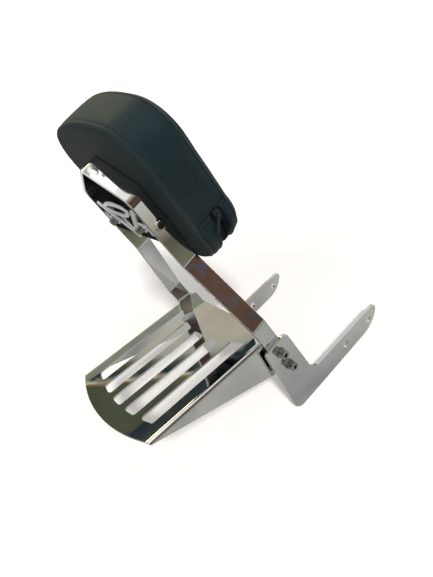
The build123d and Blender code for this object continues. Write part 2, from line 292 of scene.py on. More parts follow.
def group_cloth(piece):
    """Vertex groups for the cloth run: the seams, which hold still, and the slack of the side band"""
    first_band = len(BACK_SCALES)
    last_band = first_band + len(BAND_DEPTHS) - 1
    held = [0]
    for index in range(first_band + 1):
        held += ring_points(index)
    held += ring_points(last_band)
    slack = piece.vertex_groups.new(name="slack")
    for index in range(first_band, last_band + 1):
        for point, (x, z, nx, nz) in zip(ring_points(index), OUTLINE):
            if abs(z - CROSS_SEAM) < ON_SEAM:
                held.append(point)
            slack.add([point], 1 if z < CROSS_SEAM else BAND_SLACK / END_SLACK, "REPLACE")
    piece.vertex_groups.new(name="seams").add(held, 1.0, "REPLACE")


def fill_cover(piece):
    """Cloth run: the filling swells the cover between its seams"""
    group_cloth(piece)
    cloth = piece.modifiers.new("cloth", "CLOTH")
    settings = cloth.settings
    settings.quality = 6
    settings.mass = 0.2
    settings.tension_stiffness = 40
    settings.compression_stiffness = 40
    settings.shear_stiffness = 20
    settings.bending_stiffness = 2
    settings.use_pressure = True
    settings.uniform_pressure_force = PRESSURE
    settings.vertex_group_mass = "seams"
    settings.vertex_group_shrink = "slack"
    settings.shrink_min = 0
    settings.shrink_max = -END_SLACK
    settings.effector_weights.gravity = 0
    scene = bpy.context.scene
    for step in range(1, CLOTH_STEPS + 1):
        scene.frame_set(step)
    graph = bpy.context.evaluated_depsgraph_get()
    filled = piece.evaluated_get(graph).to_mesh()
    places = [vertex.co.copy() for vertex in filled.vertices]
    piece.evaluated_get(graph).to_mesh_clear()
    piece.modifiers.remove(cloth)
    scene.frame_set(1)
    for vertex, place in zip(piece.data.vertices, places):
        shift = place - vertex.co
        if shift.length > CLOTH_CAP:
            shift *= CLOTH_CAP / shift.length
        vertex.co += shift


def subdivide(piece):
    rounding = piece.modifiers.new("rounding", "SUBSURF")
    rounding.levels = 1
    rounding.use_limit_surface = False
    graph = bpy.context.evaluated_depsgraph_get()
    rounded = bpy.data.meshes.new_from_object(piece.evaluated_get(graph))
    piece.modifiers.clear()
    piece.vertex_groups.clear()
    piece.data = rounded


# Sewing, after the filling: the zip's channel, the cross seams and small puckers along the seams
SEWN_REAR = REAR_SEAM + 0.5
SEWN_FRONT = FRONT_SEAM - 0.2
SEWN_INSIDE = PIPING + 2
CHANNEL_FLOOR = 1.5
CHANNEL_INNER = ZIP_HALF - 0.6
CHANNEL_OUTER = ZIP_HALF + 0.9
CHANNEL_FADE = 2.5
CHANNEL_FLARE = 2.5
FLARE_LENGTH = 25
LIP_RISE = 0.8
LIP_MIDDLE = ZIP_HALF + 2.6
LIP_WIDTH = 1.6
CROSS_DIP = 1.5
CROSS_DIP_WIDTH = 1.3
FOLD_RISE = 0.5
FOLD_MIDDLE = 3.5
FOLD_WIDTH = 1.8
PUCKER = 0.45
PUCKER_ABOVE = 0.35
PUCKER_REACH = 7
GATHER_ALONG = 0.12
GATHER_ACROSS = 0.03
OUT_OF_REACH = 40


def channel_flare(z):
    """The zip's channel opens a little to the rear below the slider"""
    return CHANNEL_FLARE * smooth(0, FLARE_LENGTH, ZIP_END - z)


def sew(piece):
    for vertex in piece.data.vertices:
        spot = upright(vertex.co)
        if not SEWN_REAR < spot.y < SEWN_FRONT:
            continue
        number = OUTLINE_FINDER.find((spot.x, 0, spot.z))[1]
        x, z, nx, nz = OUTLINE[number]
        proud = (spot.x - x) * nx + (spot.z - z) * nz
        if proud < -SEWN_INSIDE:
            continue
        away = max(spot.y - ZIP_MIDDLE, ZIP_MIDDLE - channel_flare(spot.z) - spot.y)
        in_end = smooth(0, CHANNEL_FADE, ZIP_END - spot.z)
        channel = in_end * (1 - smooth(CHANNEL_INNER, CHANNEL_OUTER, away))
        move = channel * (-CHANNEL_FLOOR - proud)
        move += in_end * LIP_RISE * hump(LIP_MIDDLE, LIP_WIDTH, away)
        if abs(spot.x) > HALF_WIDTH / 2:
            below = seam_height(spot.y) - spot.z
            move -= CROSS_DIP * hump(0, CROSS_DIP_WIDTH, below)
            move += FOLD_RISE * hump(FOLD_MIDDLE, FOLD_WIDTH, below) * (1 - channel)
        from_zip = max(away - ZIP_HALF, 0) + OUT_OF_REACH * (1 - in_end)
        edge = min(spot.y - REAR_SEAM, FRONT_SEAM - spot.y, from_zip)
        gather = noise.noise((spot.x * GATHER_ALONG, spot.y * GATHER_ACROSS, spot.z * GATHER_ALONG))
        pucker = PUCKER * (PUCKER_ABOVE + (1 - PUCKER_ABOVE) * end_panel(spot.z))
        move += pucker * gather * math.exp(-edge / PUCKER_REACH) * (1 - channel)
        vertex.co += TURN @ Vector((nx, 0, nz)) * (move / PER_METRE)


# Leather over the board: hidden at the seam, a rolled rim of (inset, depth), flat where the hoop rests
BOARD_SEAM = REAR_SEAM - 0.2
HIDDEN_SCALES = (0.3, 0.7, 0.98)
RIM_INSET = 8.5
BOARD_RIM = [
    (PIPING, BOARD_SEAM),
    (1.3, 17.6),
    (1.2, 16.6),
    (1.9, 15.2),
    (3.4, 13.9),
    (5.6, 13.1),
    (RIM_INSET, REAR),
]
FLAT_SCALES = (0.85, 0.7, 0.5, 0.25)


def make_back():
    rings = [scaled_ring(PIPING, scale, BOARD_SEAM) for scale in HIDDEN_SCALES]
    for inset, depth in BOARD_RIM:
        near_seam = (depth - REAR) / (REAR_SEAM - REAR)
        ring = []
        for x, z, nx, nz in OUTLINE:
            inward = inset - corner_tip(nx, nz) * near_seam
            ring.append((x - inward * nx, depth + seam_shift(x, z) * near_seam, z - inward * nz))
        rings.append(ring)
    for scale in FLAT_SCALES:
        rings.append(scaled_ring(RIM_INSET, scale, REAR))
    return closed_form("pad_back", rings, (0, BOARD_SEAM, CENTRE_HEIGHT), (0, REAR, CENTRE_HEIGHT))


# Welts: round tubes along the two seams, which wander a little
WELT_RADIUS = PIPING - 0.1
WELT_WANDER = 0.3
WELT_WAVE = 0.2


def tube(name, path, radius, sides=10):
    """Closed tube of upright-frame points along a closed path"""
    points, faces = [], []
    count = len(path)
    for i, spot in enumerate(path):
        along = (Vector(path[(i + 1) % count]) - Vector(path[i - 1])).normalized()
        out = along.cross(Y_AXIS).normalized()
        for k in range(sides):
            a = 2 * math.pi * k / sides
            offset = (out * math.cos(a) + Y_AXIS * math.sin(a)) * radius
            points.append(row(*(Vector(spot) + offset)))
    for i in range(count):
        for k in range(sides):
            a, b = i * sides, ((i + 1) % count) * sides
            j = (k + 1) % sides
            faces.append((a + k, a + j, b + j, b + k))
    return make_mesh(name, points, faces)


def make_piping(name, depth, follows_rear):
    path = []
    for i, (x, z, nx, nz) in enumerate(OUTLINE):
        wander = WELT_WANDER * noise.noise((i * WELT_WAVE, depth, 0))
        inset = PIPING + wander - follows_rear * corner_tip(nx, nz)
        path.append((x - inset * nx, depth + wander + follows_rear * seam_shift(x, z), z - inset * nz))
    return tube(name, path, WELT_RADIUS)


# Stitches and teeth are small rods with rounded ends, set at even steps round the pad's bottom
END_MARGIN = 0.1
CAP_SHARE = 0.7


def walk(low_end, pitch):
    """Evenly spaced (x, z, normal x, normal z) round the pad's bottom, up to a height on each side"""
    from_top = OUTLINE[COUNT // 2 :] + OUTLINE[: COUNT // 2]
    run = [spot for spot in from_top if spot[1] < low_end - END_MARGIN]
    run = [(-HALF_WIDTH, low_end, -1, 0)] + run + [(HALF_WIDTH, low_end, 1, 0)]
    places, left = [run[0]], pitch
    for here, there in zip(run, run[1:]):
        length = math.dist(here[:2], there[:2])
        reached = 0
        while length - reached >= left:
            reached += left
            left = pitch
            t = reached / length
            places.append(tuple(a + (b - a) * t for a, b in zip(here, there)))
        left -= length - reached
    return places


def add_capsule(points, faces, middle, along, length, radius, sides=7):
    """Round-ended rod of upright-frame points, added to a mesh's lists"""
    along = along.normalized()
    across = along.orthogonal().normalized()
    third = along.cross(across)
    first = len(points)
    straight = length / 2 - radius
    cap = straight + radius * CAP_SHARE
    steps = [(-cap, CAP_SHARE), (-straight, 1), (straight, 1), (cap, CAP_SHARE)]
    for shift, scale in steps:
        for k in range(sides):
            a = 2 * math.pi * k / sides
            ring = (across * math.cos(a) + third * math.sin(a)) * radius * scale
            points.append(row(*(middle + along * shift + ring)))
    points.append(row(*(middle - along * length / 2)))
    points.append(row(*(middle + along * length / 2)))
    low, high = len(points) - 2, len(points) - 1
    last = first + (len(steps) - 1) * sides
    for k in range(sides):
        j = (k + 1) % sides
        faces.append((first + j, first + k, low))
        faces.append((last + k, last + j, high))
        for ring in range(len(steps) - 1):
            a = first + ring * sides
            faces.append((a + k, a + j, a + sides + j, a + sides + k))


# Stitches lie on the finished cover: a row on each side of the zip and one under each cross seam
STITCH_LENGTH = 3.2
STITCH_PITCH = 4.6
STITCH_RADIUS = 0.42
ZIP_STITCH = ZIP_HALF + 3.6
CROSS_STITCH = 3.4
CROSS_STITCH_REAR = REAR_SEAM + 4
CROSS_STITCH_FRONT = FRONT_SEAM - 3
RAY_START = 15


def make_stitches(cover):
    mesh = cover.data
    surface = BVHTree.FromPolygons(
        [vertex.co for vertex in mesh.vertices], [list(face.vertices) for face in mesh.polygons]
    )

    def on_cover(x, depth, z, nx, nz):
        out = Vector((nx, 0, nz))
        start = Vector((x, depth, z)) + out * RAY_START
        hit = surface.ray_cast(row(*start), TURN @ -out)[0]
        return upright(hit)

    points, faces = [], []
    for side in (-1, 1):
        for x, z, nx, nz in walk(CROSS_SEAM - SEAM_MARGIN, STITCH_PITCH):
            flare = channel_flare(z) if side < 0 else 0
            spot = on_cover(x, ZIP_MIDDLE + side * (ZIP_STITCH + flare), z, nx, nz)
            add_capsule(points, faces, spot, Vector((-nz, 0, nx)), STITCH_LENGTH, STITCH_RADIUS)
    for side in (-1, 1):
        depth = CROSS_STITCH_REAR
        while depth < CROSS_STITCH_FRONT:
            spot = on_cover(side * HALF_WIDTH, depth, seam_height(depth) - CROSS_STITCH, side, 0)
            add_capsule(points, faces, spot, Y_AXIS, STITCH_LENGTH, STITCH_RADIUS)
            depth += STITCH_PITCH
    return make_mesh("pad_stitches", points, faces)


# Zip: a woven tape in the channel, which sags unevenly, and a chain of interlocking teeth
TAPE_HALF = 10.4
TAPE_TOP = -0.15
TAPE_LOW = -1.15
TAPE_LINES = 14
TAPE_PITCH = 2.5
TAPE_SAG = 0.2
SAG_ALONG = 0.25
SAG_ACROSS = 0.3
SAG_SEED = 7
TEETH_END = 158.5
TOOTH_PITCH = 1.7
TOOTH_LENGTH = 3.6
TOOTH_RADIUS = 0.68
TOOTH_OFFSET = 0.7
TOOTH_RISE = 0.82


def make_tape():
    places = walk(ZIP_END, TAPE_PITCH)
    section = []
    for k in range(TAPE_LINES + 1):
        section.append((-TAPE_HALF + 2 * TAPE_HALF * k / TAPE_LINES, TAPE_TOP))
    for k in range(TAPE_LINES + 1):
        section.append((TAPE_HALF - 2 * TAPE_HALF * k / TAPE_LINES, TAPE_LOW))
    sides = len(section)
    points, faces = [], []
    for i, (x, z, nx, nz) in enumerate(places):
        for across, level in section:
            uneven = noise.noise((i * SAG_ALONG, across * SAG_ACROSS, SAG_SEED))
            sag = TAPE_SAG * abs(uneven) if level == TAPE_TOP else 0
            height = level - sag
            points.append(row(x + nx * height, ZIP_MIDDLE + across, z + nz * height))
    for i in range(len(places) - 1):
        for k in range(sides):
            a, j = i * sides, (k + 1) % sides
            faces.append((a + k, a + j, a + sides + j, a + sides + k))
    faces.append(tuple(range(sides)))
    faces.append(tuple(reversed(range((len(places) - 1) * sides, len(places) * sides))))
    return make_mesh("zip_ribbon", points, faces)


def make_teeth():
    points, faces = [], []
    for i, (x, z, nx, nz) in enumerate(walk(TEETH_END, TOOTH_PITCH)):
        offset = TOOTH_OFFSET if i % 2 else -TOOTH_OFFSET
        middle = Vector((x + nx * TOOTH_RISE, ZIP_MIDDLE + offset, z + nz * TOOTH_RISE))
        add_capsule(points, faces, middle, Y_AXIS, TOOTH_LENGTH, TOOTH_RADIUS)
    return make_mesh("zip_chain", points, faces)


# Slider: two shields with a groove between them for the tape, and a bridge. A cut is (height, depth).
SLIDER_MIDDLE = 166
SLIDER_HALF_HEIGHT = 6
SLIDER_TOP_HALF = 4.5
SLIDER_WAIST_HALF = 3.1
SLIDER_FACE = 113.1
SLIDER_BASE = 109.3
SHIELD_STEPS = 40
SHIELD_ROUNDNESS = 0.6
SHIELD_WAIST = -0.5
SHIELD_SHOULDER = 0.6
SHIELD_EDGE = (0.4, 0.4)
SHIELD_GROOVE = (0.6, 0.7)
HUB_RADIUS = 0.5
BRIDGE_HALF = 3.4
BRIDGE_RISE = 1.6
BRIDGE_RADIUS = 0.75
BRIDGE_SINK = 0.3
BRIDGE_STEPS = 8

# Pull: a tab that hangs from the bridge at an angle, with an eye near its end
PULL_LENGTH = 27
PULL_TOP = 1.5
PULL_HALF_TOP = 1.9
PULL_HALF_END = 2.6
PULL_STEPS = 48
PULL_ROUNDNESS = 0.5
PULL_GAP = 0.3
PULL_THICKNESS = 1.2
PULL_EDGE = (0.3, 0.3)
PULL_EYE = 1.2
PULL_EYE_HEIGHT = 2.6
PULL_SWING = math.radians(40)


def cut_levels(low, high, low_cut, high_cut):
    """Levels of a slab as (x, growth of the rim), with both rims cut back"""
    return [
        (low, -low_cut[1]),
        (low + low_cut[0], 0),
        (high - high_cut[0], 0),
        (high, -high_cut[1]),
    ]


def add_slab(points, faces, outer, inner, levels):
    """Closed slab with an eye, from two loops of (y, z) and its levels along X"""
    count = len(outer)
    middle_y, middle_z = (sum(spot[i] for spot in inner) / count for i in (0, 1))
    first = len(points)
    for x, grow in levels:
        for y, z in outer:
            share = 1 + grow / math.dist((y, z), (middle_y, middle_z))
            points.append(row(x, middle_y + (y - middle_y) * share, middle_z + (z - middle_z) * share))
        for y, z in inner:
            points.append(row(x, y, z))
    step = 2 * count
    last = first + (len(levels) - 1) * step
    for k in range(count):
        j = (k + 1) % count
        faces.append((first + k, first + j, first + count + j, first + count + k))
        faces.append((last + j, last + k, last + count + k, last + count + j))
        for level in range(len(levels) - 1):
            a = first + level * step
            faces.append((a + j, a + k, a + step + k, a + step + j))
            faces.append((a + count + k, a + count + j, a + step + count + j, a + step + count + k))


def eye(loop, middle, radius):
    """Round hole about a middle, one point for each point of the loop round it"""
    ring = []
    for y, z in loop:
        share = radius / math.dist((y, z), middle)
        ring.append((middle[0] + (y - middle[0]) * share, middle[1] + (z - middle[1]) * share))
    return ring


def signed_power(value, power):
    """Power that keeps the sign, which squares off a circle's sine and cosine"""
    return math.copysign(abs(value) ** power, value)


def bridge_point(angle):
    rise = SLIDER_FACE - BRIDGE_SINK + BRIDGE_RISE * math.sin(angle)
    return Vector((rise, ZIP_MIDDLE, SLIDER_MIDDLE + BRIDGE_HALF * math.cos(angle)))


def make_slider():
    points, faces = [], []
    shield = []
    for k in range(SHIELD_STEPS):
        a = 2 * math.pi * k / SHIELD_STEPS
        wide = smooth(SHIELD_WAIST, SHIELD_SHOULDER, math.sin(a))
        half = SLIDER_WAIST_HALF + (SLIDER_TOP_HALF - SLIDER_WAIST_HALF) * wide
        y = ZIP_MIDDLE + half * signed_power(math.cos(a), SHIELD_ROUNDNESS)
        z = SLIDER_MIDDLE + SLIDER_HALF_HEIGHT * signed_power(math.sin(a), SHIELD_ROUNDNESS)
        shield.append((y, z))
    hub = eye(shield, (ZIP_MIDDLE, SLIDER_MIDDLE), HUB_RADIUS)
    groove = (SLIDER_BASE + SLIDER_FACE) / 2
    add_slab(points, faces, shield, hub, cut_levels(SLIDER_BASE, groove, SHIELD_EDGE, SHIELD_GROOVE))
    add_slab(points, faces, shield, hub, cut_levels(groove, SLIDER_FACE, SHIELD_GROOVE, SHIELD_EDGE))
    for k in range(BRIDGE_STEPS):
        start = bridge_point(math.pi * k / BRIDGE_STEPS)
        end = bridge_point(math.pi * (k + 1) / BRIDGE_STEPS)
        length = (end - start).length + 2 * BRIDGE_RADIUS
        add_capsule(points, faces, (start + end) / 2, end - start, length, BRIDGE_RADIUS)
    return make_mesh("zip_runner", points, faces)


def make_pull():
    points, faces = [], []
    tab = []
    for k in range(PULL_STEPS):
        a = 2 * math.pi * k / PULL_STEPS
        t = (1 - signed_power(math.sin(a), PULL_ROUNDNESS)) / 2
        half = PULL_HALF_TOP + (PULL_HALF_END - PULL_HALF_TOP) * t
        tab.append((half * signed_power(math.cos(a), PULL_ROUNDNESS), PULL_TOP - PULL_LENGTH * t))

    def hang(loop):
        c, s = math.cos(-PULL_SWING), math.sin(-PULL_SWING)
        return [(ZIP_MIDDLE + y * c - z * s, SLIDER_MIDDLE + y * s + z * c) for y, z in loop]

    hole = eye(tab, (0, PULL_EYE_HEIGHT - PULL_LENGTH), PULL_EYE)
    low = SLIDER_FACE + PULL_GAP
    levels = cut_levels(low, low + PULL_THICKNESS, PULL_EDGE, PULL_EDGE)
    add_slab(points, faces, hang(tab), hang(hole), levels)
    return make_mesh("zip_tab", points, faces)


# Node helpers for the materials
def new_material(name, colour, metallic, roughness):
    material = bpy.data.materials.new(name)
    material.use_nodes = True
    shader = material.node_tree.nodes["Principled BSDF"]
    shader.inputs["Metallic"].default_value = metallic
    shader.inputs["Roughness"].default_value = roughness
    shader.inputs["Base Color"].default_value = (*colour, 1)
    material.diffuse_color = (*colour, 1)
    return material, material.node_tree, shader


def add_node(tree, kind, **inputs):
    node = tree.nodes.new(kind)
    for name, value in inputs.items():
        node.inputs[name.replace("_", " ")].default_value = value
    return node


def add_texture(tree, kind, **inputs):
    """Texture in the model's own coordinates"""
    place = tree.nodes.new("ShaderNodeTexCoord")
    texture = add_node(tree, kind, **inputs)
    tree.links.new(place.outputs["Object"], texture.inputs["Vector"])
    return texture


def add_noise(tree, scale, detail=3):
    return add_texture(tree, "ShaderNodeTexNoise", Scale=scale, Detail=detail).outputs["Fac"]


def add_math(tree, operation, first, second):
    """Result of a calculation on the outputs of two nodes"""
    node = tree.nodes.new("ShaderNodeMath")
    node.operation = operation
    tree.links.new(first, node.inputs[0])
    tree.links.new(second, node.inputs[1])
    return node.outputs["Value"]


def add_ramp(tree, source, stops):
    ramp = tree.nodes.new("ShaderNodeValToRGB")
    elements = ramp.color_ramp.elements
    while len(elements) < len(stops):
        elements.new(0.5)
    for element, (position, colour) in zip(elements, stops):
        element.position = position
        element.color = (*colour, 1)
    tree.links.new(source, ramp.inputs["Fac"])
    return ramp.outputs["Color"]


def add_bump(tree, shader, source, distance, strength=1.0):
    bump = add_node(tree, "ShaderNodeBump", Strength=strength, Distance=distance)
    tree.links.new(source, bump.inputs["Height"])
    tree.links.new(bump.outputs["Normal"], shader.inputs["Normal"])


def grey(value):
    return (value, value, value)


# Materials; a ramp's stops are (noise level, colour), and bump distances are in metres
CHROME_ROUGHNESS = 0.04
SMUDGE_SCALE = 11
SMUDGE_DETAIL = 8
HAZE_SCALE = 45
HAZE_DETAIL = 6
HAZE_STOPS = [(0.4, grey(0.015)), (0.72, grey(0.09))]
BUMP_FINENESS = 6
HIDE_TINT_SCALE = 18
HIDE_RUB_SCALE = 11
HIDE_RUB = 0.08
GRAIN_BUMP = 0.0003
GRAIN_STRENGTH = 0.5
THREAD_SCALE = 400
THREAD_BUMP = 0.0003
THREAD_STRENGTH = 0.6
CLOTH_ROUGHNESS = 0.85
CLOTH_GLOSS = 0.1


def metal(name, dark, light, smooth_level, rough_level, scale, bump=0.0, metallic=1.0):
    """Metal whose tint and gloss wander a little over the surface"""
    middle = tuple((a + b) / 2 for a, b in zip(dark, light))
    material, tree, shader = new_material(name, middle, metallic, (smooth_level + rough_level) / 2)
    cloud = add_noise(tree, scale)
    tree.links.new(add_ramp(tree, cloud, [(0.3, dark), (0.7, light)]), shader.inputs["Base Color"])
    gloss = add_ramp(tree, cloud, [(0.35, grey(smooth_level)), (0.75, grey(rough_level))])
    tree.links.new(gloss, shader.inputs["Roughness"])
    if bump:
        add_bump(tree, shader, add_noise(tree, scale * BUMP_FINENESS), bump)
    return material


def plating(name, clean, smudged):
    """Chrome with faint smudges and a fine haze of wiping marks"""
    material, tree, shader = new_material(name, clean, 1.0, CHROME_ROUGHNESS)
    smudges = add_noise(tree, SMUDGE_SCALE, SMUDGE_DETAIL)
    tint = add_ramp(tree, smudges, [(0.36, smudged), (0.56, clean)])
    tree.links.new(tint, shader.inputs["Base Color"])
    haze = add_ramp(tree, add_noise(tree, HAZE_SCALE, HAZE_DETAIL), HAZE_STOPS)
    tree.links.new(haze, shader.inputs["Roughness"])
    return material


def leather(name, dark, light, roughness, grain, gloss):
    """Black leather with a fine cell grain and softer rubbed patches"""
    material, tree, shader = new_material(name, dark, 0.0, roughness)
    shader.inputs["Specular IOR Level"].default_value = gloss
    tint = add_ramp(tree, add_noise(tree, HIDE_TINT_SCALE), [(0.35, dark), (0.7, light)])
    tree.links.new(tint, shader.inputs["Base Color"])
    rub_stops = [(0.35, grey(roughness)), (0.7, grey(roughness - HIDE_RUB))]
    rubbed = add_ramp(tree, add_noise(tree, HIDE_RUB_SCALE), rub_stops)
    tree.links.new(rubbed, shader.inputs["Roughness"])
    cells = add_texture(tree, "ShaderNodeTexVoronoi", Scale=grain)
    add_bump(tree, shader, cells.outputs["Distance"], GRAIN_BUMP, GRAIN_STRENGTH)
    return material


def woven(name, dark, light):
    """Cloth with fine threads"""
    material, tree, shader = new_material(name, dark, 0.0, CLOTH_ROUGHNESS)
    shader.inputs["Specular IOR Level"].default_value = CLOTH_GLOSS
    threads = add_texture(tree, "ShaderNodeTexWave", Scale=THREAD_SCALE).outputs["Fac"]
    tint = add_ramp(tree, threads, [(0.2, dark), (0.8, light)])
    tree.links.new(tint, shader.inputs["Base Color"])
    add_bump(tree, shader, threads, THREAD_BUMP, THREAD_STRENGTH)
    return material


MATERIALS = {
    "chrome": plating("chrome", clean=(0.575, 0.575, 0.565), smudged=(0.47, 0.475, 0.465)),
    "steel": metal(
        "steel",
        dark=(0.15, 0.15, 0.143),
        light=(0.4, 0.395, 0.375),
        smooth_level=0.2,
        rough_level=0.38,
        scale=250,
        bump=0.0001,
    ),
    "black_steel": metal(
        "black_steel",
        dark=(0.03, 0.03, 0.03),
        light=(0.07, 0.07, 0.072),
        smooth_level=0.22,
        rough_level=0.4,
        scale=300,
    ),
    "satin_plate": metal(
        "satin_plate",
        dark=(0.56, 0.55, 0.59),
        light=(0.66, 0.65, 0.69),
        smooth_level=0.3,
        rough_level=0.42,
        scale=120,
        bump=0.0001,
        metallic=0.4,
    ),
    # The leather's blue-green cast is painted light, the cast of cool light on black leather; the
    # noise between its two colours is the hide's own uneven tone.
    "leather": leather(
        "leather",
        dark=(0.0043, 0.0115, 0.015),
        light=(0.008, 0.017, 0.0195),
        roughness=0.5,
        grain=700,
        gloss=0.16,
    ),
    # A matter copy of the leather for the board's back, painted lighter: its lower gloss is a real
    # finish, and its lighter colour is painted light, for the brighter look of that face.
    "matt_leather_painted_lighter": leather(
        "matt_leather_painted_lighter",
        dark=(0.0147, 0.0224, 0.0231),
        light=(0.0217, 0.0294, 0.0291),
        roughness=0.62,
        grain=700,
        gloss=0.03,
    ),
    # The welts are painted a little lighter than the cover, a painted highlight that makes each one
    # read as a thin bright line; their lower roughness is real.
    "welt": leather(
        "welt",
        dark=(0.0075, 0.0143, 0.0165),
        light=(0.0135, 0.0218, 0.0233),
        roughness=0.42,
        grain=900,
        gloss=0.16,
    ),
    "zip_cloth": woven("zip_cloth", dark=(0.0015, 0.0025, 0.004), light=(0.004, 0.006, 0.009)),
    "zip_plastic": metal(
        "zip_plastic",
        dark=(0.004, 0.006, 0.009),
        light=(0.012, 0.014, 0.018),
        smooth_level=0.35,
        rough_level=0.5,
        scale=300,
    ),
    "zip_metal": metal(
        "zip_metal",
        dark=(0.006, 0.01, 0.014),
        light=(0.018, 0.024, 0.03),
        smooth_level=0.3,
        rough_level=0.45,
        scale=300,
        metallic=0.5,
    ),
}

for part in frame["record"]["subparts"]:
    node = frame["nodes"][part["node"]]
    node.data.materials.clear()
    node.data.materials.append(MATERIALS[part["material_slot"]])


def add_piece(piece, slot, *nodes, look=None):
    piece.data.materials.append(MATERIALS[look or slot])
    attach(piece, "root")
    if nodes:
        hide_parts(*nodes)
    return piece


cover = make_cushion()
fill_cover(cover)
subdivide(cover)
sew(cover)
add_piece(cover, "leather", "pad_cushion")
# The board's back wears the matter copy of the leather, painted lighter.
add_piece(make_back(), "leather", "pad_board", look="matt_leather_painted_lighter")
add_piece(make_piping("rear_welt", REAR_SEAM, 1), "welt", "rear_piping")
add_piece(make_piping("front_welt", FRONT_SEAM, 0), "welt", "front_piping")
add_piece(make_stitches(cover), "zip_cloth")
add_piece(make_tape(), "zip_cloth", "zip_tape")
add_piece(make_teeth(), "zip_plastic", "zip_teeth")
add_piece(make_slider(), "zip_metal", "zip_slider")
add_piece(make_pull(), "zip_metal", "zip_pull")

# Stage, in metres: a white floor, soft light, and cards that only the metal and leather mirror.
# The floor's own glow rises from near the model outwards, so that its shadow stays.
FLOOR_REACH = 8
FLOOR_ROUGHNESS = 0.9
FLOOR_NOISE = 3
FLOOR_TINTS = [(0.3, (0.92, 0.87, 0.832)), (0.7, (0.94, 0.89, 0.852))]
LIFT_START = 0.2
LIFT_END = 0.9
NEAR_LIFT = 0.15
FAR_LIFT = 0.8
WORLD_LIGHT = 0.32
TABLE_REACH = 1.6
TABLE_HEIGHT = 0.0004
TABLE_WANDER = 0.02
TABLE_NOISE = 3
SQUARE = ((-1, -1), (1, -1), (1, 1), (-1, 1))


def sees_background(tree):
    """1 for camera, mirror and see-through rays, which all meet the white background"""
    path = tree.nodes.new("ShaderNodeLightPath").outputs
    seen = add_math(tree, "MAXIMUM", path["Is Camera Ray"], path["Is Glossy Ray"])
    return add_math(tree, "MAXIMUM", seen, path["Is Transmission Ray"])


def add_plane(name, corners, material):
    plane = make_mesh(name, corners, [(0, 1, 2, 3)])
    plane.data.materials.append(material)
    return plane


def out_from_middle(tree):
    """Distance from the middle of the floor, 1 at the table card's rim"""
    place = tree.nodes.new("ShaderNodeTexCoord")
    length = tree.nodes.new("ShaderNodeVectorMath")
    length.operation = "LENGTH"
    tree.links.new(place.outputs["Object"], length.inputs[0])
    share = tree.nodes.new("ShaderNodeMath")
    share.operation = "DIVIDE"
    tree.links.new(length.outputs["Value"], share.inputs[0])
    share.inputs[1].default_value = TABLE_REACH
    return share.outputs["Value"]


def make_floor():
    material, tree, shader = new_material("floor_white", FLOOR_TINTS[0][1], 0.0, FLOOR_ROUGHNESS)
    shader.inputs["Specular IOR Level"].default_value = 0.0
    tint = add_ramp(tree, add_noise(tree, FLOOR_NOISE), FLOOR_TINTS)
    tree.links.new(tint, shader.inputs["Base Color"])
    shader.inputs["Emission Color"].default_value = (1, 1, 1, 1)
    rise = add_node(
        tree,
        "ShaderNodeMapRange",
        From_Min=LIFT_START,
        From_Max=LIFT_END,
        To_Min=NEAR_LIFT,
        To_Max=FAR_LIFT,
    )
    tree.links.new(out_from_middle(tree), rise.inputs["Value"])
    lift = add_math(tree, "MULTIPLY", sees_background(tree), rise.outputs["Result"])
    tree.links.new(lift, shader.inputs["Emission Strength"])
    corners = [(i * FLOOR_REACH, j * FLOOR_REACH, 0) for i, j in SQUARE]
    add_plane("floor", corners, material)


def make_world():
    world = bpy.data.worlds.new("studio")
    bpy.context.scene.world = world
    world.use_nodes = True
    tree = world.node_tree
    shade = tree.nodes["Background"]
    level = add_node(tree, "ShaderNodeMapRange", To_Min=WORLD_LIGHT, To_Max=1.0)
    tree.links.new(sees_background(tree), level.inputs["Value"])
    tree.links.new(level.outputs["Result"], shade.inputs["Strength"])
    shade.inputs["Color"].default_value = (1, 1, 1, 1)


def card_material(name, measure, wander, scale, stops):
    """Glowing card whose colour runs along a measured value, with an uneven edge"""
    material = bpy.data.materials.new(name)
    material.use_nodes = True
    tree = material.node_tree
    tree.nodes.clear()
    output = tree.nodes.new("ShaderNodeOutputMaterial")
    glow = tree.nodes.new("ShaderNodeEmission")
    uneven = add_node(tree, "ShaderNodeMapRange", To_Min=-wander, To_Max=wander)
    tree.links.new(add_noise(tree, scale), uneven.inputs["Value"])
    total = add_math(tree, "ADD", measure(tree), uneven.outputs["Result"])
    tree.links.new(add_ramp(tree, total, stops), glow.inputs["Color"])
    tree.links.new(glow.outputs["Emission"], output.inputs["Surface"])
    return material


def add_card(name, corners, measure, wander, scale, stops):
    """Card that is seen in mirrors only"""
    card = add_plane(name, corners, card_material(name, measure, wander, scale, stops))
    card.visible_camera = False
    card.visible_diffuse = False
    card.visible_shadow = False
    card.visible_transmission = False


def along_card(weights):
    """Measure along a card: its shares of X, Y and Z, each from 0 to 1, times the weights, added up"""

    def measure(tree):
        place = tree.nodes.new("ShaderNodeTexCoord")
        total = tree.nodes.new("ShaderNodeVectorMath")
        total.operation = "DOT_PRODUCT"
        tree.links.new(place.outputs["Generated"], total.inputs[0])
        total.inputs[1].default_value = weights
        return total.outputs["Value"]

    return measure


def add_wall(name, azimuth, distance, width, low, high, weights, wander, scale, stops):
    """Upright card round the model, its colour running along the weighted axes"""
    turn = math.radians(azimuth)
    out = Vector((math.cos(turn), math.sin(turn), 0))
    across = Vector((-out.y, out.x, 0)) * (width / 2)
    foot = out * distance + Vector((0, 0, low))
    top = out * distance + Vector((0, 0, high))
    corners = [foot - across, foot + across, top + across, top - across]
    add_card(name, corners, along_card(weights), wander, scale, stops)


def add_ceiling(name, middle, width, weights, wander, scale, stops):
    """Level card over the model, facing down, its colour running along the weighted axes"""
    half = width / 2
    corners = [Vector(middle) + Vector((-i * half, j * half, 0)) for i, j in SQUARE]
    add_card(name, corners, along_card(weights), wander, scale, stops)


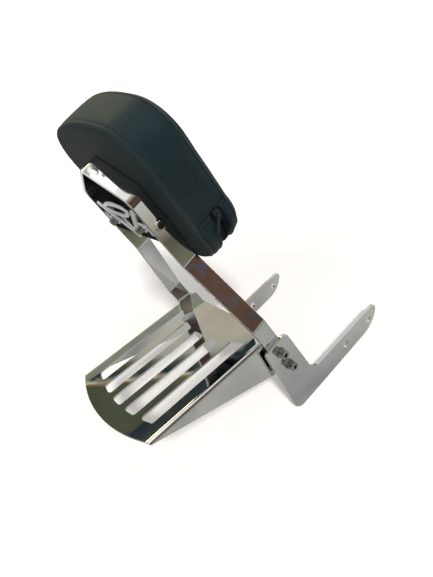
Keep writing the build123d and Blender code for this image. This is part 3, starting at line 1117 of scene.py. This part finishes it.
def add_table(stops):
    """Card on the floor, its colour running outwards from under the model"""
    corners = [(i * TABLE_REACH, j * TABLE_REACH, TABLE_HEIGHT) for i, j in SQUARE]
    add_card("table_card", corners, out_from_middle, TABLE_WANDER, TABLE_NOISE, stops)


def add_lamp(name, place, aim, size, watts, colour, mirrored):
    lamp = bpy.data.lights.new(name, "AREA")
    lamp.size = size
    lamp.energy = watts
    lamp.color = colour
    holder = bpy.data.objects.new(name, lamp)
    holder.location = place
    holder.rotation_euler = (Vector(aim) - Vector(place)).to_track_quat("-Z", "Y").to_euler()
    holder.visible_glossy = mirrored
    bpy.context.collection.objects.link(holder)


# Colours of the cards, and the stops where each of them changes colour
OLIVE = (0.11, 0.125, 0.08)
MIDDLE_OLIVE = (0.3, 0.3, 0.22)
DEEP_OLIVE = (0.17, 0.17, 0.12)
GREY_GREEN = (0.35, 0.38, 0.3)
TEAL = (0.1, 0.17, 0.17)
PALE = (0.55, 0.58, 0.47)
BEIGE = (0.75, 0.68, 0.55)
BROWN = (0.17, 0.095, 0.062)
DARK_BROWN = (0.1, 0.06, 0.04)
COPPER = (0.4, 0.2, 0.1)
NIGHT = (0.035, 0.05, 0.065)
SLATE = (0.125, 0.095, 0.1)
LILAC = (0.15, 0.13, 0.17)
DIM_GREY = (0.4, 0.41, 0.41)
LIGHT_GREY = (0.575, 0.58, 0.555)
BRIGHT_GREY = (0.7, 0.7, 0.66)
WHITE = (1, 1, 1)
SUNLIT = (1.1, 1.12, 0.78)
LAMP_WHITE = (2, 2, 1.95)
SHEEN = (7.8, 6.9, 3.8)
TABLE_STOPS = [
    (0.055, BRIGHT_GREY),
    (0.08, DIM_GREY),
    (0.105, LIGHT_GREY),
    (0.16, BRIGHT_GREY),
    (0.2, LIGHT_GREY),
    (0.36, MIDDLE_OLIVE),
    (0.48, DEEP_OLIVE),
    (0.58, BEIGE),
    (0.75, WHITE),
]
DOOR_STOPS = [
    (0.529, OLIVE),
    (0.54, COPPER),
    (0.546, SUNLIT),
    (0.558, NIGHT),
    (0.58, NIGHT),
    (0.602, OLIVE),
    (0.62, OLIVE),
    (0.65, PALE),
    (0.75, BEIGE),
]
SILL_STOPS = [(0.45, MIDDLE_OLIVE), (0.66, SUNLIT), (0.78, SUNLIT), (0.86, PALE), (0.93, GREY_GREEN)]
DUSK_STOPS = [(0.0, NIGHT), (0.3, OLIVE), (0.5, SHEEN), (0.9, SHEEN)]
BROWN_STOPS = [
    (0.08, SLATE),
    (0.12, BROWN),
    (0.17, BROWN),
    (0.185, LILAC),
    (0.2, BROWN),
    (0.26, BROWN),
    (0.3, LILAC),
    (0.36, BROWN),
    (0.5, DARK_BROWN),
    (0.9, BEIGE),
]
PLAIN_STOPS = [(0.0, DARK_BROWN), (0.6, OLIVE), (1.0, PALE)]
TEAL_STOPS = [(0.09, TEAL), (0.16, PALE), (0.2, LAMP_WHITE)]

# The far wall is three cards above each other; the door card's bands slant
FAR_WALL = {"azimuth": 180, "distance": 6, "width": 7.5}
SILL_FOOT = 0.3
SILL_TOP = 4.05
DOOR_TOP = 5.5
DUSK_TOP = 9
SLANT = (0, 1, -0.29)
UPWARDS = (0, 0, 1)
WALL_FOOT = 0.02

make_floor()
make_world()
add_table(TABLE_STOPS)
add_wall(
    "door_card",
    **FAR_WALL,
    low=SILL_TOP,
    high=DOOR_TOP,
    weights=SLANT,
    wander=0.012,
    scale=1.5,
    stops=DOOR_STOPS,
)
add_wall(
    "sill_card",
    **FAR_WALL,
    low=SILL_FOOT,
    high=SILL_TOP,
    weights=UPWARDS,
    wander=0.1,
    scale=0.8,
    stops=SILL_STOPS,
)
add_wall(
    "dusk_card",
    **FAR_WALL,
    low=DOOR_TOP,
    high=DUSK_TOP,
    weights=UPWARDS,
    wander=0.1,
    scale=0.8,
    stops=DUSK_STOPS,
)
add_wall(
    "brown_card",
    azimuth=13,
    distance=1.5,
    width=1.3,
    low=WALL_FOOT,
    high=1.7,
    weights=UPWARDS,
    wander=0.2,
    scale=11,
    stops=BROWN_STOPS,
)
for name, azimuth in (("rear_card", -90), ("front_card", 90)):
    add_wall(
        name,
        azimuth,
        distance=3,
        width=4,
        low=WALL_FOOT,
        high=0.9,
        weights=UPWARDS,
        wander=0.05,
        scale=2,
        stops=PLAIN_STOPS,
    )
add_ceiling(
    "teal_card",
    middle=(-0.1, 0.03, 1.4),
    width=0.16,
    weights=(0.4, 0, 0),
    wander=0.6,
    scale=35,
    stops=TEAL_STOPS,
)
add_lamp(
    "top_lamp",
    place=(0.4, -0.3, 1.65),
    aim=(0, 0, 0.3),
    size=1.7,
    watts=5,
    colour=(1, 0.98, 0.93),
    mirrored=True,
)
add_lamp(
    "side_lamp",
    place=(2.7, -0.8, 3.0),
    aim=(0, 0, 0.15),
    size=0.4,
    watts=140,
    colour=(0.97, 0.99, 1),
    mirrored=False,
)

# Camera as fitted to the photograph; it stands at EYE_POINT in the upright frame
RIGHT = Vector((0.5919, 0.7010, -0.3978))
DOWN = Vector((0.2530, -0.6302, -0.7341))
FORWARD = Vector((-0.7653, 0.3339, -0.5504))
EYE_POINT = (526.7, -137.6, 423.5)
FOCAL_PIXELS = 450
PHOTO_WIDTH = 433
SENSOR_WIDTH = 36
lens = bpy.data.cameras.new("camera")
lens.sensor_fit = "HORIZONTAL"
lens.sensor_width = SENSOR_WIDTH
lens.lens = FOCAL_PIXELS / PHOTO_WIDTH * SENSOR_WIDTH
camera = bpy.data.objects.new("camera", lens)
axes = Matrix((RIGHT, -DOWN, -FORWARD)).transposed()
camera.matrix_world = Matrix.Translation(row(*EYE_POINT)) @ axes.to_4x4()
bpy.context.collection.objects.link(camera)
bpy.context.scene.camera = camera
bpy.context.scene.view_settings.view_transform = "Standard"
